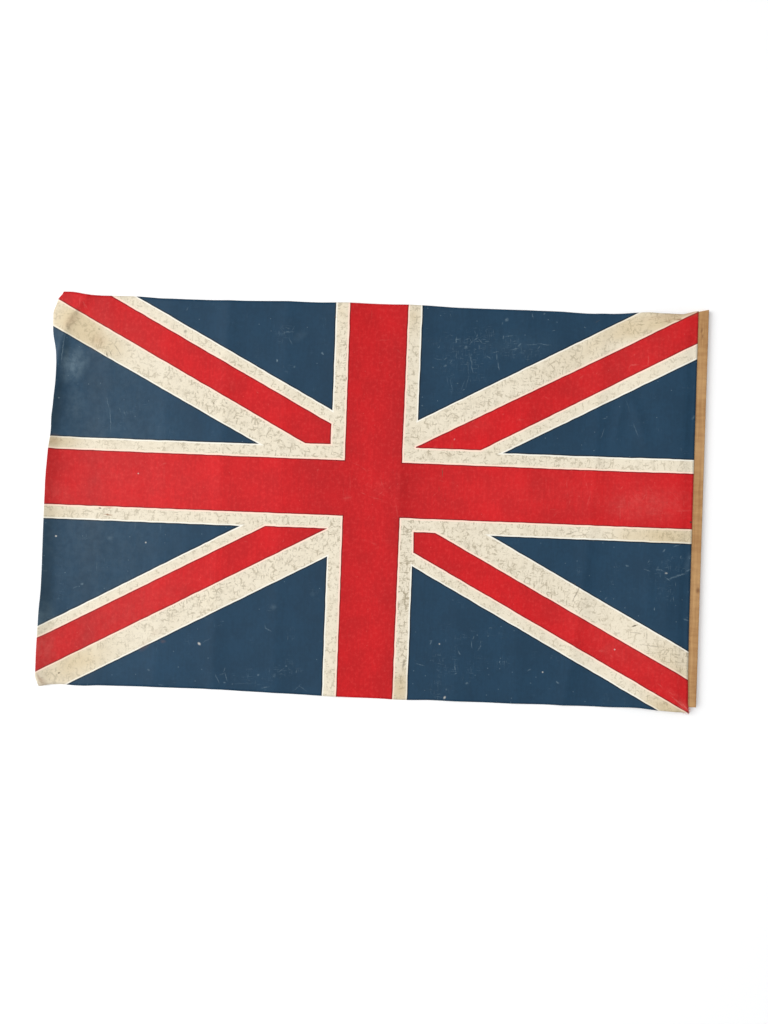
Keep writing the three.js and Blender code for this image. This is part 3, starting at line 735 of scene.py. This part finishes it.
# Cream: clean beside the other paints, yellowed in places, and crazed with dirt in the cracks.
clouds = noise(tree, where, 40, detail=4, roughness=0.6)
blots = noise(tree, where, 11, detail=4, roughness=0.65)
yellowing = maths(tree, "MULTIPLY_ADD", clouds, 0.5, marks(tree, where, YELLOWED))
yellowing = ramp(tree, yellowing, 0.1, 1.2, 0.0, 0.85)
cream = mixed(tree, yellowing, CREAM, AGED_CREAM)
dirtier = marks(tree, where, DIRTIED)
cracked_here = noise(tree, where, 9, detail=3, roughness=0.6)
cracked_here = ramp(tree, maths(tree, "MULTIPLY_ADD", dirtier, 0.25, cracked_here), 0.45, 0.60)
bent = warped(tree, where, 6.0, 2.0)
along_threads = maths(tree, "MULTIPLY", dashes(tree, bent, 2.2, 12.0, 0.55, 0.68), cracked_here)
net_here = ramp(tree, noise(tree, where, 16, detail=4, roughness=0.7), 0.50, 0.64)
net = maths(tree, "MULTIPLY", cracks(tree, bent, 9.0, 1.5), net_here)
crazing = maths(tree, "MAXIMUM", along_threads, net)
pits = ramp(tree, noise(tree, where, 2.2, detail=2, roughness=0.6), 0.58, 0.70)
pits = maths(tree, "MULTIPLY", pits, ramp(tree, blots, 0.40, 0.60))
smudges = ramp(tree, blots, 0.50, 0.80, 0.0, 0.34)
crazing = maths(tree, "MULTIPLY", crazing, 0.56)
pits = maths(tree, "MULTIPLY", pits, 0.36)
dirt = maths(tree, "MAXIMUM", maths(tree, "MAXIMUM", crazing, pits), smudges)
clear_of_edge = ramp(tree, maths(tree, "MULTIPLY_ADD", blots, 2.0, from_edge), 1.8, 3.6)
dirt = maths(tree, "MULTIPLY", dirt, clear_of_edge)
from_middle = node(tree, "ShaderNodeVectorMath", {0: where}, operation="LENGTH").outputs["Value"]
dirt = maths(tree, "MULTIPLY", dirt, ramp(tree, from_middle, 60, 420, 1.0, 0.65))
dirt = maths(tree, "MULTIPLY_ADD", dirt, dirtier, dirt)
cream = mixed(tree, dirt, cream, GRIME)
fresh = ramp(tree, yellowing, 0.1, 0.6, 1.0, 0.6)
rim = maths(tree, "MULTIPLY", ramp(tree, cream_edge, 2.4, 1.1, 0.0, 0.65), fresh)
cream = mixed(tree, rim, cream, RIM_AT_BLUE)
rim = maths(tree, "MULTIPLY", ramp(tree, red_edge, -2.8, -1.2, 0.0, 0.9), fresh)
cream = mixed(tree, rim, cream, RIM_AT_RED)

# Red and blue: brushed out thin and thick, painted lighter and darker in broad bands as the light and
# shade of the folds, and darker where they overlap the cream.
streaks = noise(tree, where, 6, detail=3, roughness=0.6, stretch=(0.5, 5, 1))
mottle = noise(tree, where, 5, detail=4, roughness=0.7)
tone = maths(tree, "MULTIPLY_ADD", streaks, 0.5, maths(tree, "MULTIPLY_ADD", mottle, 0.6, clouds))
tone = ramp(tree, tone, 0.75, 1.35, 0.91, 1.09)
# Painted light and shade of the folds, laid over the tone in broad bands.
tone = maths(tree, "MULTIPLY_ADD", tone, marks(tree, where, FOLD_LIGHT_AND_SHADE), tone)
red_tone = maths(tree, "MULTIPLY", tone, ramp(tree, red_edge, 2.2, 0.8, 1.0, 0.45))
blue_tone = maths(tree, "MULTIPLY", tone, ramp(tree, cream_edge, -2.4, -0.8, 1.0, 0.30))
red = mixed(tree, 1.0, RED, red_tone, blend="MULTIPLY")
blue = mixed(tree, 1.0, BLUE, blue_tone, blend="MULTIPLY")

# Thin places, chips and scuffs let the pale ground show through the red and blue. The broad rubs and
# the crease lines pale them too, partly as painted sheen and painted highlights.
scuff_here = maths(tree, "MULTIPLY", marks(tree, where, SCUFFED), 0.35)
scuff_here = maths(tree, "ADD", scuff_here, noise(tree, where, 30, detail=3, roughness=0.6))
scuff_here = ramp(tree, scuff_here, 0.55, 0.85)
scuffs = maths(tree, "MULTIPLY", dashes(tree, crooked, 1.3, 11.0, 0.62, 0.74), scuff_here)
scuffs = maths(tree, "MULTIPLY", scuffs, 0.24)
flecks = maths(tree, "MULTIPLY", spots(tree, where, 17.0, 1.0, 0.14), 0.4)
wear_and_sheen = maths(tree, "ADD", marks(tree, crooked, SCRATCHES_AND_CREASE_HIGHLIGHTS), maths(tree, "MAXIMUM", scuffs, flecks))
breaking_up = ramp(tree, noise(tree, where, 2.0, detail=2), 0.32, 0.62, 0.45, 1.1)
wear_and_sheen = maths(tree, "MULTIPLY", wear_and_sheen, breaking_up)
rubs_and_sheen = maths(tree, "MULTIPLY", marks(tree, where, RUBS_AND_SHEEN), ramp(tree, blots, 0.3, 0.7, 0.6, 1.4))
wear_and_sheen = maths(tree, "MINIMUM", maths(tree, "ADD", wear_and_sheen, rubs_and_sheen), 0.85)
dust_wear_and_sheen = maths(tree, "MULTIPLY_ADD", wear_and_sheen, 0.55, ramp(tree, mottle, 0.48, 0.75, 0.0, 0.07))
red = mixed(tree, dust_wear_and_sheen, red, WORN_AND_SHEEN_RED)
blue = mixed(tree, maths(tree, "MULTIPLY", wear_and_sheen, 0.7), blue, WORN_AND_SHEEN_BLUE)
chipped = maths(tree, "MINIMUM", marks(tree, where, CHIPS), 0.9)
red = mixed(tree, chipped, red, CHIPPED)
blue = mixed(tree, chipped, blue, CHIPPED)

colour = mixed(tree, is_cream, blue, cream)
colour = mixed(tree, is_red, colour, red)
# Dark specks, with painted shade along the dog-ear's crease.
specks_and_crease_shade = maths(tree, "MINIMUM", marks(tree, crooked, SPECKS_AND_CREASE_SHADE), 0.9)
colour = mixed(tree, specks_and_crease_shade, colour, DARK_SPECK_AND_SHADE)
# Brown stains, with brown painted shade along the dog-ear's crease.
stains_and_crease_shade = maths(tree, "MINIMUM", marks(tree, crooked, STAINS_AND_CREASE_SHADE), 0.9)
colour = mixed(tree, stains_and_crease_shade, colour, STAIN_AND_SHADE_BROWN)
# Painted shade along the curled fly end and beside the dog-ear's crease.
fly_end_shade = maths(tree, "MINIMUM", marks(tree, where, PAINTED_FLY_END_SHADE), 0.6)
colour = mixed(tree, fly_end_shade, colour, SHADE_TINT, blend="MULTIPLY")

# The weave shows faintly through the paint.
weave = weave_of(tree, where)
colour = mixed(tree, 1.0, colour, ramp(tree, weave, 0.0, 1.0, 0.975, 1.02), blend="MULTIPLY")
tree.links.new(colour, shader.inputs["Base Color"])

gloss = maths(tree, "MULTIPLY_ADD", clouds, 0.16, 0.40)
gloss = maths(tree, "MULTIPLY_ADD", wear_and_sheen, 0.25, gloss)
gloss = maths(tree, "MULTIPLY_ADD", is_cream, 0.06, gloss)
tree.links.new(gloss, shader.inputs["Roughness"])
shader.inputs["Specular IOR Level"].default_value = 0.15

relief = maths(tree, "MULTIPLY_ADD", weave, 0.35, maths(tree, "MULTIPLY", blots, 0.7))
add_bump(tree, shader, relief, 0.35, 0.0003)
cloth.data.materials.append(paint)

# The back and the raw edges are bare cotton with some paint soaked through.
COTTON = (0.62, 0.53, 0.38, 1)
SOAKED = (0.36, 0.29, 0.21, 1)

bare, tree, shader = new_material("bare_cotton")
where = node(tree, "ShaderNodeAttribute", attribute_name="print").outputs["Vector"]
weave = weave_of(tree, where)
soaked = noise(tree, where, 12, detail=5, roughness=0.7)
colour = mixed(tree, ramp(tree, soaked, 0.45, 0.75, 0.0, 0.6), COTTON, SOAKED)
colour = mixed(tree, 1.0, colour, ramp(tree, weave, 0.0, 1.0, 0.8, 1.1), blend="MULTIPLY")
tree.links.new(colour, shader.inputs["Base Color"])
shader.inputs["Roughness"].default_value = 0.9
add_bump(tree, shader, weave, 0.5, 0.0003)
cloth.data.materials.append(bare)


# The bottom corner of the hoist passes the batten's end, and its weave has come apart. Each loose
# thread: where it leaves the cloth, where it bends and where it ends, from the corner, and how
# much it has dropped there.
THREAD_RADIUS = 0.00025
THREAD = (0.66, 0.56, 0.46, 1)
RED_THREAD = (0.46, 0.04, 0.04, 1)
THREADS = (
    ((-0.0008, 0.0040), (0.0006, 0.0014), (0.0008, -0.0008), 0.0006),
    ((-0.0014, 0.0022), (0.0000, -0.0008), (0.0006, -0.0026), 0.0012),
    ((-0.0026, 0.0018), (-0.0012, -0.0010), (-0.0008, -0.0030), 0.0018),
    ((-0.0038, 0.0014), (-0.0026, -0.0008), (-0.0024, -0.0028), 0.0016),
    ((-0.0050, 0.0012), (-0.0044, -0.0006), (-0.0038, -0.0024), 0.0012),
    ((-0.0064, 0.0012), (-0.0060, -0.0006), (-0.0063, -0.0018), 0.0010),
    ((-0.0082, 0.0010), (-0.0076, -0.0004), (-0.0078, -0.0014), 0.0008),
    ((-0.0006, 0.0056), (0.0010, 0.0040), (0.0020, 0.0016), 0.0010),
    ((-0.0020, 0.0030), (-0.0002, 0.0002), (-0.0006, -0.0022), 0.0014),
    ((-0.0008, 0.0074), (0.0010, 0.0060), (0.0020, 0.0042), 0.0004),
)
corner_x = HOIST_BOTTOM + HOIST_EDGE[0][1]
corner_y = CLOTH_BOTTOM + BOTTOM_EDGE[-1][1]
corner = np.array((corner_x, corner_y, LAP_HEIGHT + CLOTH_THICKNESS / 2))

strands = []
for start, bend, end, drop in THREADS:
    bpy.ops.curve.primitive_nurbs_path_add()
    strand = bpy.context.object
    route = [(*start, 0), (*bend, -0.2 * drop), (*end, -drop)]
    middles = [[(a + b) / 2 for a, b in zip(*pair)] for pair in zip(route, route[1:])]
    route = [route[0], middles[0], route[1], middles[1], route[2]]
    for point, place in zip(strand.data.splines[0].points, route):
        point.co = (*(corner + np.array(place)), 1)
    strand.data.bevel_depth = THREAD_RADIUS
    strand.data.bevel_resolution = 1
    strand.data.resolution_u = 3
    strand.data.use_fill_caps = True
    bpy.ops.object.convert(target="MESH")
    strands.append(bpy.context.object)
bpy.ops.object.select_all(action="DESELECT")
for strand in strands:
    strand.select_set(True)
bpy.ops.object.join()
threads = bpy.context.object
threads.name = "frayed_threads"
bpy.ops.object.shade_smooth()

fray, tree, shader = new_material("frayed_cotton")
where = in_millimetres(tree)
painted = ramp(tree, noise(tree, where, 1.6, 2, 0.5, dimensions="3D"), 0.44, 0.56)
colour = mixed(tree, painted, THREAD, RED_THREAD)
tree.links.new(colour, shader.inputs["Base Color"])
shader.inputs["Roughness"].default_value = 0.85
fuzz = noise(tree, where, 0.25, 2, 0.6, dimensions="3D")
add_bump(tree, shader, fuzz, 0.4, 0.0001)
threads.data.materials.append(fray)

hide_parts("cloth")
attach(cloth, "root")
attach(threads, "root")


# ---- The batten --------------------------------------------------------------------------
# A planed lath of pale softwood, bare. Light bands cross its grain, and it has one knot and two
# small dark smudges near its top end.

DARK_GRAIN = (0.33, 0.16, 0.057, 1)
PALE_GRAIN = (0.52, 0.30, 0.12, 1)
PALE_PATCH = (0.55, 0.34, 0.155, 1)
KNOT = (0.19, 0.080, 0.028, 1)
KNOTS = (
    (457.5, -110, 80, 5.5, 4, 1.1), (451.6, 251, 75, 5, 2.2, 0.9), (452.6, 243, 85, 5, 2, 0.8),
)

pine, tree, shader = new_material("bare_pine")
where = warped(tree, in_millimetres(tree), 30, 1.5, dimensions="3D")
grain = noise(tree, where, 1.4, 4, 0.6, (1, 40, 1), "3D")
rings = noise(tree, where, 7, 2, 0.5, (0.6, 25, 0.6), "3D")
ripple = noise(tree, where, 5, 3, 0.6, (5, 1, 5), "3D")
patches = noise(tree, where, 45, 2, 0.5, (1, 1.2, 1), "3D")
tone = maths(tree, "ADD", maths(tree, "MULTIPLY_ADD", grain, 0.8, rings), ripple)
colour = mixed(tree, ramp(tree, tone, 1.0, 1.9), DARK_GRAIN, PALE_GRAIN)
colour = mixed(tree, ramp(tree, patches, 0.35, 0.7, 0.0, 0.4), colour, PALE_PATCH)
dark = maths(tree, "MINIMUM", marks(tree, where, KNOTS), 0.8)
colour = mixed(tree, dark, colour, KNOT)
tree.links.new(colour, shader.inputs["Base Color"])
tree.links.new(ramp(tree, tone, 1.0, 1.9, 0.62, 0.5), shader.inputs["Roughness"])
shader.inputs["Specular IOR Level"].default_value = 0.3
relief = maths(tree, "MULTIPLY_ADD", ripple, 0.6, grain)
add_bump(tree, shader, relief, 0.3, 0.0004)
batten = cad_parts["batten"]
batten.data.materials.clear()
batten.data.materials.append(pine)


# ---- The tack ----------------------------------------------------------------------------
# A small cut tack that holds the hoist to the batten, brown with rust.

DARK_RUST = (0.045, 0.016, 0.012, 1)
BRIGHT_RUST = (0.16, 0.05, 0.028, 1)

rust, tree, shader = new_material("rusted_iron")
flakes = noise(tree, in_millimetres(tree), 0.6, 4, 0.7, dimensions="3D")
colour = mixed(tree, ramp(tree, flakes, 0.35, 0.65), DARK_RUST, BRIGHT_RUST)
tree.links.new(colour, shader.inputs["Base Color"])
tree.links.new(ramp(tree, flakes, 0.35, 0.65, 0.5, 0.85), shader.inputs["Roughness"])
shader.inputs["Metallic"].default_value = 0.4
add_bump(tree, shader, flakes, 0.5, 0.0002)
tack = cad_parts["tack"]
tack.data.materials.clear()
tack.data.materials.append(rust)
